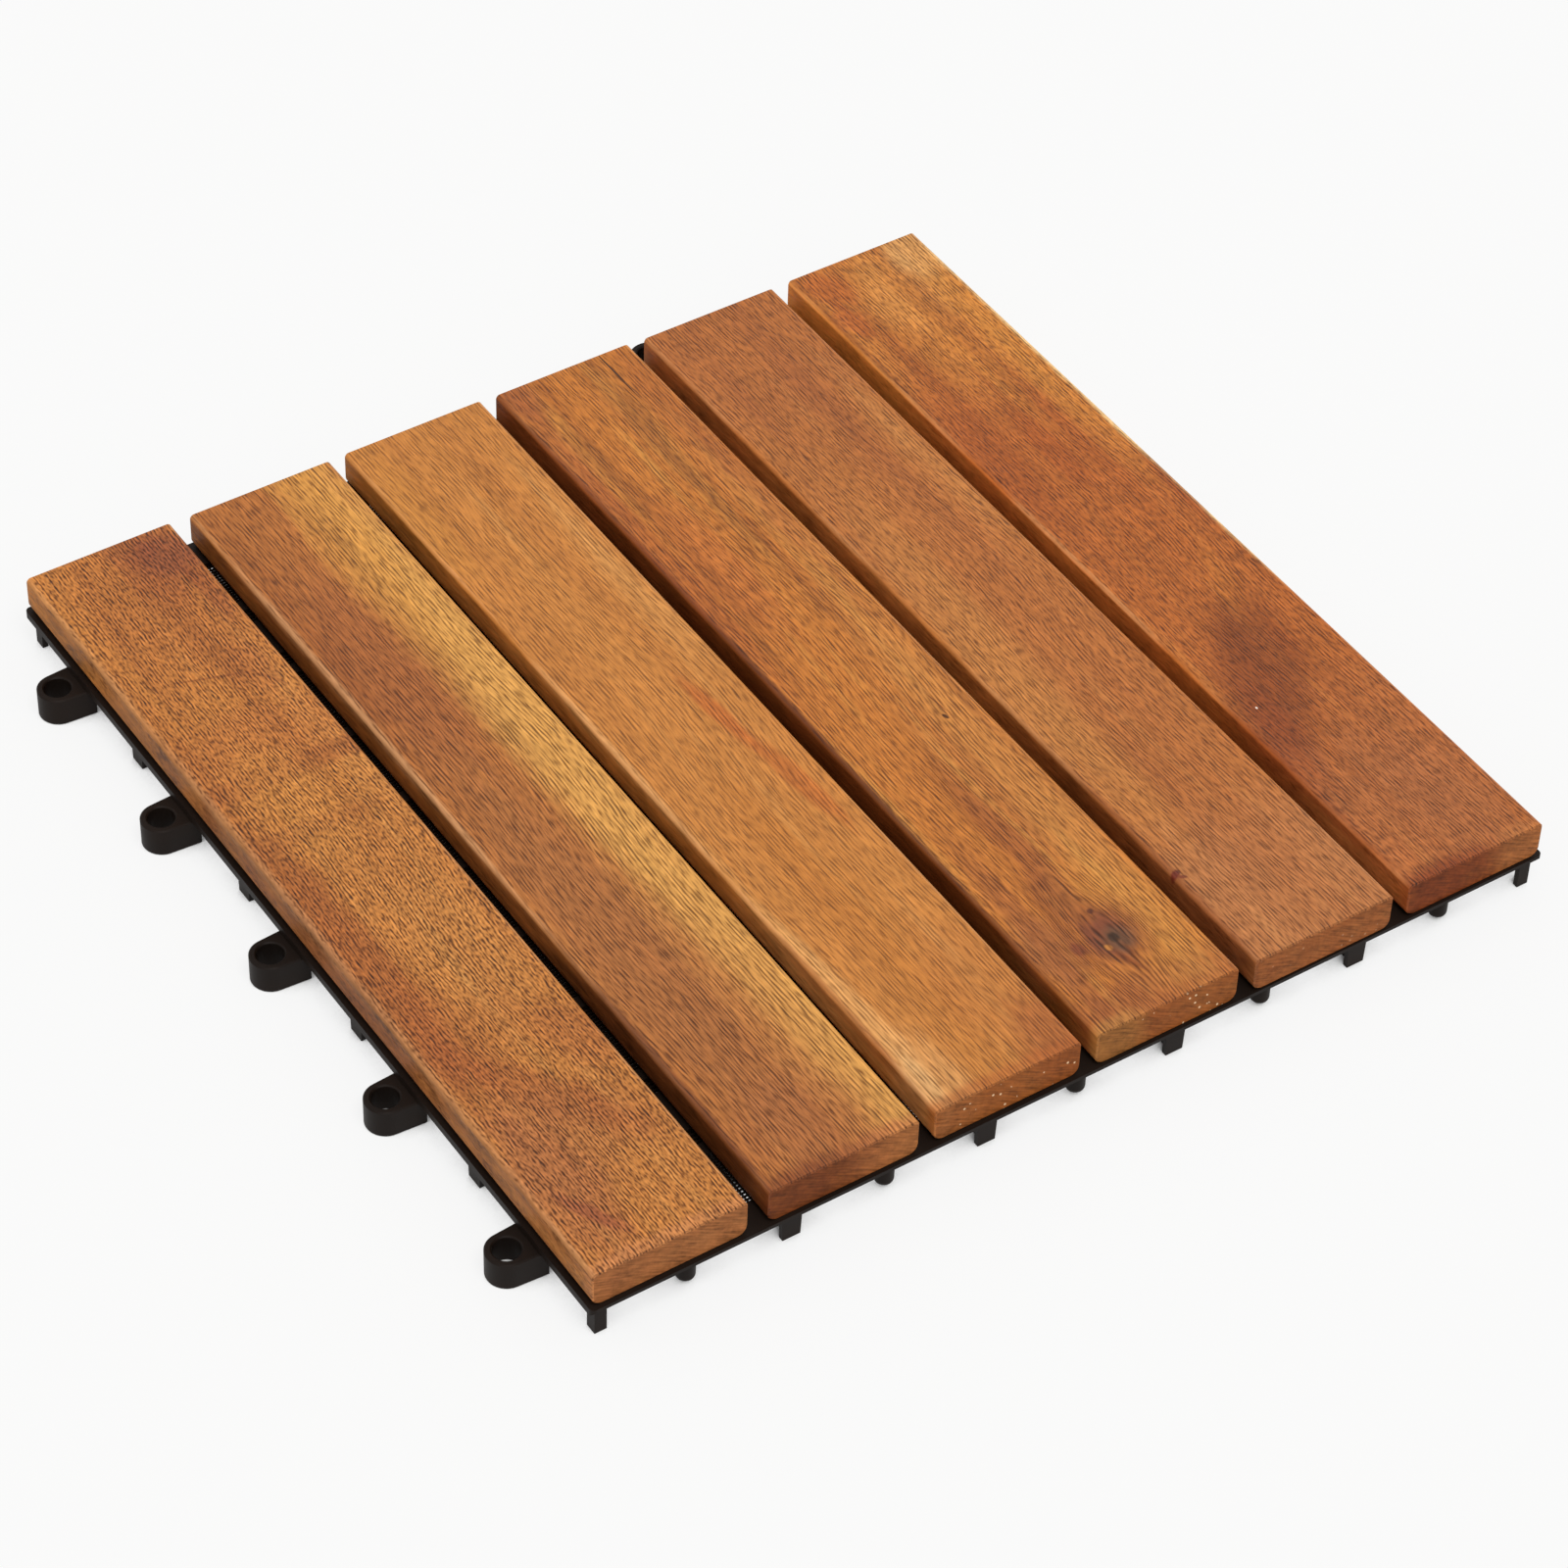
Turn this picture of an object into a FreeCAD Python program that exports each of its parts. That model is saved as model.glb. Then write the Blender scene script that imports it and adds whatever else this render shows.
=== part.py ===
import FreeCAD, Part
import math
import os

# Interlocking deck tile: hardwood slats side by side on one moulded plastic base,
# fixed from below with wood screws.
# Millimetres. X runs across the slats, Y along them and Z up.
# The origin is the middle of the tile, on the floor.

# Slats, from left to right
slat_length = 299.5
slat_width = 45.5
slat_thickness = 11.5
slat_gaps = (6.0, 5.0, 4.8, 5.1, 5.6)
slat_slides = (0.3, 0.1, 0.4, 0.0, -0.5, -0.2)
slat_top_round = 1.4
slat_bottom_round = 3.0
slat_end_chamfer = 0.4

# Base plate with its open grid
base_height = 11.5
plate_thickness = 2.4
rim_overhang = 1.0
rim_width = 10.0
rim_corner_round = 1.5
rim_bevel = 1.2
grid_pitch = 30.0
bar_width = 4.0

# Ribs below the plate
rib_thickness = 1.6
rib_floor_gap = 4.0

# Feet
foot_top_width = 6.2
foot_floor_width = 5.4
edge_foot_inset = 2.5
corner_foot_inset = 2.0
corner_foot_leg = 3.6
edge_foot_stem = 4.0

# Pins below the front and right edges, and the loops that a neighbour's pins drop into
pin_radius = 2.7
pin_inset = 5.4
pin_floor_gap = 0.8
pin_tip_round = 1.6
neighbour_gap = 0.5
hook_clearance = 1.15
loop_wall = 1.95
loop_root_depth = 2.6
loop_root_flare = 0.6
loop_floor_gap = 0.3
loop_top_drop = 0.2
loop_edge_chamfer = 0.4
loop_room = 0.4

# Screws and the channels that their heads stand in
screw_radius = 1.6
screw_length = 11.0
screw_point = 2.6
screw_head_radius = 3.2
screw_head_height = 2.0
screw_head_chamfer = 0.8
screw_slot_width = 0.9
screw_slot_length = 3.6
screw_slot_depth = 1.1
screw_spread = 11.0
screw_plate_clearance = 0.3
screw_pilot_clearance = 0.1
channel_clearance = 2.8

# Sizes that follow from those above
slat_count = len(slat_gaps) + 1
field_width = slat_count * slat_width + sum(slat_gaps)
half_x = field_width / 2 + rim_overhang
half_y = slat_length / 2 + rim_overhang
plate_floor = base_height - plate_thickness
loop_hole_radius = pin_radius + hook_clearance
loop_radius = loop_hole_radius + loop_wall
loop_offset = pin_inset + neighbour_gap
loop_top = plate_floor - loop_top_drop
loop_zone = loop_radius + loop_root_flare + loop_room
pin_side_reach = pin_inset + loop_zone
channel_width = 2 * (screw_head_radius + channel_clearance)
screw_tip = plate_floor + screw_length
overshoot = 1.0


def grid_lines(half_run):
    """Places of the grid lines inside one run of the base, on the pitch and even about its middle."""
    cells = int(2 * half_run / grid_pitch)
    return [(index - cells / 2) * grid_pitch for index in range(1, cells)]


# Grid lines across X and across Y; every other one carries pins and loops, and the rest edge feet
lines_x = grid_lines(half_x)
lines_y = grid_lines(half_y)
hooks_x = lines_x[::2]
hooks_y = lines_y[::2]
foot_lines_x = lines_x[1::2]
foot_lines_y = lines_y[1::2]

# The screws stand in the middle of the second row of cells from each end
screw_row = lines_y[-1] - grid_pitch / 2


def box(x0, x1, y0, y1, z0, z1):
    """A block between two corners."""
    return Part.makeBox(x1 - x0, y1 - y0, z1 - z0, FreeCAD.Vector(x0, y0, z0))


def prism(points, depth):
    """A flat outline, closed by straight lines, pushed along a vector."""
    corners = [FreeCAD.Vector(*point) for point in points]
    wire = Part.makePolygon(corners + corners[:1])
    return Part.Face(wire).extrude(FreeCAD.Vector(*depth))


def turned(shape, degrees):
    """A copy turned about the vertical line through the origin."""
    copy = shape.copy()
    copy.rotate(FreeCAD.Vector(0, 0, 0), FreeCAD.Vector(0, 0, 1), degrees)
    return copy


def moved(shape, x, y, z=0.0):
    """A copy shifted from where it was made."""
    copy = shape.copy()
    copy.translate(FreeCAD.Vector(x, y, z))
    return copy


def slat_centre(index):
    """Middle of one slat across the tile."""
    left = -field_width / 2 + index * slat_width + sum(slat_gaps[:index])
    return left + slat_width / 2


def screw_places():
    """Middle of every screw: two side by side near each end of each slat."""
    places = []
    for index in range(slat_count):
        for side in (-1, 1):
            for end in (-1, 1):
                places.append((slat_centre(index) + side * screw_spread, end * screw_row))
    return places


# Slats

def slat_section():
    """End view of a slat: eased top corners and rounder bottom corners."""
    half = slat_width / 2
    low = base_height
    high = base_height + slat_thickness
    top = slat_top_round
    foot = slat_bottom_round
    bend = 1 - math.sqrt(0.5)

    def at(x, z):
        return FreeCAD.Vector(x, 0, z)

    edges = [
        Part.LineSegment(at(-half + foot, low), at(half - foot, low)),
        Part.Arc(at(half - foot, low), at(half - foot * bend, low + foot * bend), at(half, low + foot)),
        Part.LineSegment(at(half, low + foot), at(half, high - top)),
        Part.Arc(at(half, high - top), at(half - top * bend, high - top * bend), at(half - top, high)),
        Part.LineSegment(at(half - top, high), at(-half + top, high)),
        Part.Arc(at(-half + top, high), at(-half + top * bend, high - top * bend), at(-half, high - top)),
        Part.LineSegment(at(-half, high - top), at(-half, low + foot)),
        Part.Arc(at(-half, low + foot), at(-half + foot * bend, low + foot * bend), at(-half + foot, low)),
    ]
    return Part.Face(Part.Wire([edge.toShape() for edge in edges]))


def slat(index):
    """One slat with its pilot holes, at its own place along and across the tile."""
    body = slat_section().extrude(FreeCAD.Vector(0, slat_length, 0))
    ends = [edge for edge in body.Edges if edge.BoundBox.YLength < slat_end_chamfer]
    body = body.makeChamfer(slat_end_chamfer, ends)
    body = moved(body, slat_centre(index), slat_slides[index] - slat_length / 2)
    radius = screw_radius + screw_pilot_clearance
    for x, y in screw_places():
        if abs(x - slat_centre(index)) < slat_width / 2:
            foot = FreeCAD.Vector(x, y, base_height - overshoot)
            depth = screw_tip + screw_pilot_clearance - foot.z
            body = body.cut(Part.makeCylinder(radius, depth, foot))
    return body


# Base

def open_spans(low, high, bands):
    """What is left between low and high once every solid band is taken out."""
    spans = []
    start = low
    for band_low, band_high in sorted(bands):
        if band_low - start > rib_thickness:
            spans.append((start, band_low))
        start = max(start, band_high)
    if high - start > rib_thickness:
        spans.append((start, high))
    return spans


def bevel_cut(half_run, half_length):
    """A wedge that takes the lower corner off the front edge of the rim, and stands out past its ends."""
    outside = -half_run - overshoot
    bottom = plate_floor - overshoot
    reach = rim_bevel + 2 * overshoot
    end = -half_length - overshoot
    corners = [(end, outside, bottom), (end, outside + reach, bottom), (end, outside, bottom + reach)]
    return prism(corners, (-2 * end, 0, 0))


def plate():
    """The top plate: a rim and a grid of bars, with a closed strip over each screw channel. The two edges
    that carry the pins are bevelled on their lower side."""
    solid = box(-half_x, half_x, -half_y, half_y, plate_floor, base_height)
    uprights = [edge for edge in solid.Edges if edge.BoundBox.ZLength > plate_thickness / 2]
    solid = solid.makeFillet(rim_corner_round, uprights)
    solid = solid.cut(bevel_cut(half_y, half_x)).cut(turned(bevel_cut(half_x, half_y), 90))
    bars_x = [(line - bar_width / 2, line + bar_width / 2) for line in lines_x]
    bars_y = [(line - bar_width / 2, line + bar_width / 2) for line in lines_y]
    half_strip = channel_width / 2 + rib_thickness
    strips = [(row - half_strip, row + half_strip) for row in (-screw_row, screw_row)]
    across = open_spans(-half_x + rim_width, half_x - rim_width, bars_x)
    along = open_spans(-half_y + rim_width, half_y - rim_width, bars_y + strips)
    low = plate_floor - overshoot
    high = base_height + overshoot
    cells = [box(x0, x1, y0, y1, low, high) for x0, x1 in across for y0, y1 in along]
    return solid.cut(Part.makeCompound(cells))


def rib_insets(has_foot):
    """How far a rib stops from the edge with loops and from the edge with pins."""
    if has_foot:
        inset = edge_foot_inset + rib_thickness
        return inset, inset
    return loop_root_depth, pin_side_reach


def rib(line, low, high):
    """A rib along X on one grid line."""
    half = rib_thickness / 2
    return box(low, high, line - half, line + half, rib_floor_gap, plate_floor)


def ribs():
    """Ribs on every grid line both ways, and the two walls of each screw channel."""
    solids = []
    for line in lines_y:
        loop_inset, pin_side_inset = rib_insets(line in foot_lines_y)
        solids.append(rib(line, -half_x + loop_inset, half_x - pin_side_inset))
    for line in lines_x:
        loop_inset, pin_side_inset = rib_insets(line in foot_lines_x)
        along = turned(rib(-line, -half_y + pin_side_inset, half_y - loop_inset), 90)
        for row in (-screw_row, screw_row):
            half = channel_width / 2
            along = along.cut(box(-half_x, half_x, row - half, row + half, 0, plate_floor))
        solids.extend(along.Solids)
    reach = half_x - pin_side_reach
    for row in (-screw_row, screw_row):
        for side in (-1, 1):
            wall = row + side * (channel_width + rib_thickness) / 2
            half = rib_thickness / 2
            solids.append(box(-reach, reach, wall - half, wall + half, rib_floor_gap, plate_floor))
    return solids


def blade(top):
    """A flat foot across X, a little narrower at the floor, in the middle of the tile."""
    wide = foot_top_width / 2
    narrow = foot_floor_width / 2
    back = -rib_thickness / 2
    outline = [(-narrow, back, 0), (narrow, back, 0), (wide, back, top), (-wide, back, top)]
    return prism(outline, (0, rib_thickness, 0))


def inner_feet():
    """A cross-shaped foot below every crossing of two ribs."""
    solids = []
    across = blade(rib_floor_gap)
    along = turned(across, 90)
    for x in lines_x:
        for y in lines_y:
            solids.append(moved(across, x, y))
            solids.append(moved(along, x, y))
    return solids


def edge_foot(x, half_run):
    """A T-shaped foot below the front edge: a blade set in from the rim, and its stem."""
    face = -half_run + edge_foot_inset
    front = moved(blade(plate_floor), x, face + rib_thickness / 2)
    half = rib_thickness / 2
    stem = box(x - half, x + half, face + half, face + rib_thickness + edge_foot_stem, 0, plate_floor)
    return [front, stem]


def corner_foot():
    """An L-shaped foot in the front left corner."""
    x = -half_x + corner_foot_inset
    y = -half_y + corner_foot_inset
    leg = corner_foot_leg
    front = box(x, x + leg, y, y + rib_thickness, 0, plate_floor)
    side = box(x, x + rib_thickness, y, y + leg, 0, plate_floor)
    return front.fuse(side)


def pin(x, half_run):
    """A round pin below the front edge, with a rounded tip."""
    foot = FreeCAD.Vector(x, -half_run + pin_inset, pin_floor_gap)
    solid = Part.makeCylinder(pin_radius, plate_floor - pin_floor_gap, foot)
    tip = [edge for edge in solid.Edges if edge.BoundBox.ZMax < pin_floor_gap + overshoot]
    return solid.makeFillet(pin_tip_round, tip)


def loop_outline():
    """Outline of a loop on the back edge: two straight sides that touch a round end."""
    centre = FreeCAD.Vector(0, loop_offset, 0)
    root = FreeCAD.Vector(loop_radius + loop_root_flare, -loop_root_depth, 0)
    away = root - centre
    turn = math.atan2(away.y, away.x) + math.acos(loop_radius / away.Length)
    touch = centre + FreeCAD.Vector(math.cos(turn), math.sin(turn), 0) * loop_radius
    end = centre + FreeCAD.Vector(0, loop_radius, 0)
    far_touch = FreeCAD.Vector(-touch.x, touch.y, 0)
    far_root = FreeCAD.Vector(-root.x, root.y, 0)
    edges = [
        Part.LineSegment(root, touch),
        Part.Arc(touch, end, far_touch),
        Part.LineSegment(far_touch, far_root),
        Part.LineSegment(far_root, root),
    ]
    return Part.Face(Part.Wire([edge.toShape() for edge in edges]))


def loop_hole(x, y):
    """The hole of a loop, with its chamfered mouth."""
    foot = FreeCAD.Vector(x, y, loop_floor_gap - overshoot)
    hole = Part.makeCylinder(loop_hole_radius, base_height, foot)
    mouth_foot = FreeCAD.Vector(x, y, loop_top - loop_edge_chamfer)
    mouth_radius = loop_hole_radius + loop_edge_chamfer
    mouth = Part.makeCone(loop_hole_radius, mouth_radius, loop_edge_chamfer, mouth_foot)
    return hole.fuse(mouth)


def loop(x, half_run):
    """A loop that stands out from the back edge, a little below the plate."""
    outline = loop_outline()
    outline.translate(FreeCAD.Vector(0, 0, loop_floor_gap))
    body = outline.extrude(FreeCAD.Vector(0, 0, loop_top - loop_floor_gap))
    rounded = [edge for edge in body.Edges if edge.BoundBox.ZMin > loop_top - loop_edge_chamfer
               and edge.BoundBox.YMax > 0]
    body = body.makeChamfer(loop_edge_chamfer, rounded)
    half = loop_radius
    root = box(-half, half, -loop_root_depth, 0, loop_floor_gap, plate_floor)
    body = body.fuse(root).cut(loop_hole(0, loop_offset))
    return moved(body, x, half_run)


def base_grid():
    """The whole moulding: plate, ribs, feet, pins and loops as one solid."""
    solids = ribs() + inner_feet()
    for line in foot_lines_x:
        front = edge_foot(line, half_y)
        solids += front + [turned(shape, 180) for shape in front]
    for line in foot_lines_y:
        side = edge_foot(line, half_x)
        solids += [turned(shape, 90) for shape in side] + [turned(shape, -90) for shape in side]
    corner = corner_foot()
    for x_side in (1, -1):
        for y_side in (1, -1):
            flip = corner.copy()
            if x_side < 0:
                flip = flip.mirror(FreeCAD.Vector(0, 0, 0), FreeCAD.Vector(1, 0, 0))
            if y_side < 0:
                flip = flip.mirror(FreeCAD.Vector(0, 0, 0), FreeCAD.Vector(0, 1, 0))
            solids.append(flip)
    for line in hooks_x:
        solids.append(pin(line, half_y))
        solids.append(loop(line, half_y))
    for line in hooks_y:
        solids.append(turned(pin(line, half_x), 90))
        solids.append(turned(loop(line, half_x), 90))
    body = plate().multiFuse(solids).removeSplitter()
    radius = screw_radius + screw_plate_clearance
    holes = []
    for x, y in screw_places():
        foot = FreeCAD.Vector(x, y, plate_floor - overshoot)
        holes.append(Part.makeCylinder(radius, plate_thickness + 2 * overshoot, foot))
    return body.cut(Part.makeCompound(holes))


# Screws

def screw():
    """A pan-head wood screw, head down, with a cross-shaped drive recess."""
    seat = plate_floor
    low = seat - screw_head_height
    chamfer = screw_head_chamfer
    crown = Part.makeCone(screw_head_radius - chamfer, screw_head_radius, chamfer,
                          FreeCAD.Vector(0, 0, low))
    head = Part.makeCylinder(screw_head_radius, screw_head_height - chamfer,
                             FreeCAD.Vector(0, 0, low + chamfer))
    shank = Part.makeCylinder(screw_radius, screw_length - screw_point, FreeCAD.Vector(0, 0, seat))
    point = Part.makeCone(screw_radius, 0, screw_point, FreeCAD.Vector(0, 0, screw_tip - screw_point))
    body = crown.multiFuse([head, shank, point]).removeSplitter()
    half = screw_slot_length / 2
    wide = screw_slot_width / 2
    slot = box(-half, half, -wide, wide, low - overshoot, low + screw_slot_depth)
    return body.cut(slot.fuse(turned(slot, 90)))


def screws():
    """Every screw of the tile, as separate solids in one group."""
    one = screw()
    return Part.makeCompound([moved(one, x, y) for x, y in screw_places()])


def main():
    os.makedirs("parts", exist_ok=True)
    for index in range(slat_count):
        slat(index).exportStep("parts/slat_%d.step" % (index + 1))
    base_grid().exportStep("parts/base_grid.step")
    screws().exportStep("parts/screws.step")


main()
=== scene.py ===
"""Interlocking deck tile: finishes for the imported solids, the fine net of the base, and the stage.

The six slats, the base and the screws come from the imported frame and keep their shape. This script
gives them their materials, adds the net in the openings of the base, and sets floor, light and camera.
Lengths are in metres unless a comment says mm. X runs across the slats, Y along them away from the front
edge, and Z up.
"""

import math
from typing import NamedTuple

import bpy
import numpy as np
from mathutils import Matrix, Vector


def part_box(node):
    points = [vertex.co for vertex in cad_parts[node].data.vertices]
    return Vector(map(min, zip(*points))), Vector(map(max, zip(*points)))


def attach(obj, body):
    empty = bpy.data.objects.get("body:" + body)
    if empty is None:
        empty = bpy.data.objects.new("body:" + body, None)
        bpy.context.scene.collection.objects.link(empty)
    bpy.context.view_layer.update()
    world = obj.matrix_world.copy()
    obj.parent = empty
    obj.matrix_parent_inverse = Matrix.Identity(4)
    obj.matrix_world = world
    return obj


bl_info = {
    "name": "Interlocking deck tile",
    "version": (1, 0, 0),
    "blender": (4, 5, 0),
    "location": "View3D > Sidebar > Deck tile",
    "description": "Finishes, net and stage for a slatted deck tile on a moulded base",
    "category": "Object",
}

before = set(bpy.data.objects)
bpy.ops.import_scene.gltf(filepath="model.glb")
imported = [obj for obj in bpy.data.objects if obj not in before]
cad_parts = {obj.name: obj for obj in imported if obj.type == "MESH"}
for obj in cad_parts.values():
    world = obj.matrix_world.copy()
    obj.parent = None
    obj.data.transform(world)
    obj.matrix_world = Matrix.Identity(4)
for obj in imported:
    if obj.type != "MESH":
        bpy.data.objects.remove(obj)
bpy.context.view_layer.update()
MM = 0.001


# Colour

def linear(code):
    """sRGB hex code to linear red, green and blue: the standard curve, straight below 0.04045."""
    parts = [int(code[place:place + 2], 16) / 255 for place in (1, 3, 5)]
    return tuple(part / 12.92 if part <= 0.04045 else ((part + 0.055) / 1.055) ** 2.4 for part in parts)


def opaque(colour):
    """A colour with full alpha, as a node's colour socket takes it."""
    return (colour[0], colour[1], colour[2], 1.0)


# What a user would change

def colour_setting(name, description, code):
    """A colour of the settings panel, with an sRGB hex code as its default."""
    return bpy.props.FloatVectorProperty(name=name, description=description, subtype="COLOR", size=3,
                                         min=0.0, max=1.0, default=linear(code))


class DeckTileColours(bpy.types.PropertyGroup):
    """Ground colours of the finishes."""

    slat_1: colour_setting("Slat 1", "Ground colour of the left slat", "#B57438")
    slat_2: colour_setting("Slat 2", "Ground colour of the second slat", "#A96732")
    slat_3: colour_setting("Slat 3", "Ground colour of the third slat", "#BD7A3A")
    slat_4: colour_setting("Slat 4", "Ground colour of the fourth slat", "#B87030")
    slat_5: colour_setting("Slat 5", "Ground colour of the fifth slat", "#AD6933")
    slat_6: colour_setting("Slat 6", "Ground colour of the right slat", "#AA5F2A")
    plastic: colour_setting("Base", "Colour of the moulded base and its net", "#170F0A")
    zinc: colour_setting("Screws", "Colour of the zinc on the screws", "#C9C7BF")
    floor: colour_setting("Floor", "Colour of the floor", "#E6E6E4")


class DeckTileSizes(bpy.types.PropertyGroup):
    """Sizes of the net and of the wood's pores, and how far off the camera stands."""

    net_pitch: bpy.props.FloatProperty(
        name="Net pitch", description="Distance between two bars of the fine net",
        default=1.2 * MM, min=1.0 * MM, unit="LENGTH")
    net_bar: bpy.props.FloatProperty(
        name="Net bar width", description="Width of one bar of the fine net",
        default=0.42 * MM, min=0.2 * MM, unit="LENGTH")
    net_depth: bpy.props.FloatProperty(
        name="Net bar depth", description="Height of one layer of the net's bars",
        default=0.55 * MM, min=0.2 * MM, unit="LENGTH")
    pore_depth: bpy.props.FloatProperty(
        name="Pore depth", description="Depth of the open pores in the oiled wood",
        default=0.12 * MM, min=0.0, unit="LENGTH")
    view_distance: bpy.props.FloatProperty(
        name="View distance", description="Distance from the camera to the point that it looks at",
        default=1.3771, min=0.5, unit="LENGTH")


def colours():
    """The colours of the settings panel."""
    return bpy.context.scene.deck_tile_colours


def sizes():
    """The sizes of the settings panel."""
    return bpy.context.scene.deck_tile_sizes


# Nodes

def add_node(tree, kind, inputs=None, **settings):
    """Adds one shader node and returns its first output. inputs maps a socket's name or number to a value or
    to another node's output, and settings are the node's own."""
    node = tree.nodes.new("ShaderNode" + kind)
    for name, value in settings.items():
        setattr(node, name, value)
    for key, value in (inputs or {}).items():
        if isinstance(key, int):
            socket = node.inputs[key]
        else:
            socket = next(one for one in node.inputs if one.enabled and one.name == key)
        if isinstance(value, bpy.types.NodeSocket):
            tree.links.new(value, socket)
        else:
            socket.default_value = value
    return next((one for one in node.outputs if one.enabled), None)


def new_material(name):
    """An empty node material and its tree."""
    material = bpy.data.materials.new(name)
    material.use_nodes = True
    material.node_tree.nodes.clear()
    return material, material.node_tree


def finish_material(tree, shader):
    """Joins the shader to the material's output."""
    add_node(tree, "OutputMaterial", {"Surface": shader})


def point_in_mm(tree, centre=(0.0, 0.0, 0.0)):
    """The place on the piece in mm from a centre that is given in metres."""
    place = add_node(tree, "TexCoord").node.outputs["Object"]
    shift = tuple(-part / MM for part in centre)
    return add_node(tree, "Mapping", {"Vector": place, "Location": shift, "Scale": (1 / MM,) * 3})


def stretched_noise(tree, point, spans, detail=2.0, roughness=0.5):
    """Noise whose blobs are about spans mm long on the three axes."""
    scaled = add_node(tree, "VectorMath", {0: point, 1: tuple(1 / span for span in spans)},
                      operation="MULTIPLY")
    return add_node(tree, "TexNoise", {"Vector": scaled, "Scale": 1.0, "Detail": detail,
                                       "Roughness": roughness})


# Wood

class Cloud(NamedTuple):
    """A soft patch of another colour in the wood: place and half sizes in mm from the slat's middle. turn is
    in degrees, ragged says how far noise moves its rim, and edge how soft the rim is."""

    across: float
    along: float
    half_width: float
    half_length: float
    code: str
    strength: float
    turn: float = 0.0
    ragged: float = 0.5
    edge: float = 0.45
    half_depth: float = 40.0


class Wood(NamedTuple):
    """How one slat's wood differs from the next. deep and pale are the colours of its slow bands, and
    streaks is how much of them shows. fibres, mottling and specks are strengths, fibre_length is in mm,
    side_light is how much lighter its long sides are than the painted shade of the gaps leaves them, and
    knot is a knot's place in mm from the slat's middle."""

    deep: str
    pale: str
    streaks: float
    fibres: float
    fibre_length: float
    mottling: float
    clouds: tuple
    end_clouds: tuple = ()
    side_light: float = 0.0
    specks: float = 0.0
    knot: tuple = ()


class Faces(NamedTuple):
    """Masks of a slat's faces: its sawn ends, its long sides, the rounded arrises between its top and its
    sides, and the sawn edges between its top and its ends."""

    ends: bpy.types.NodeSocket
    sides: bpy.types.NodeSocket
    arrises: bpy.types.NodeSocket
    sawn_edges: bpy.types.NodeSocket


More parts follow.
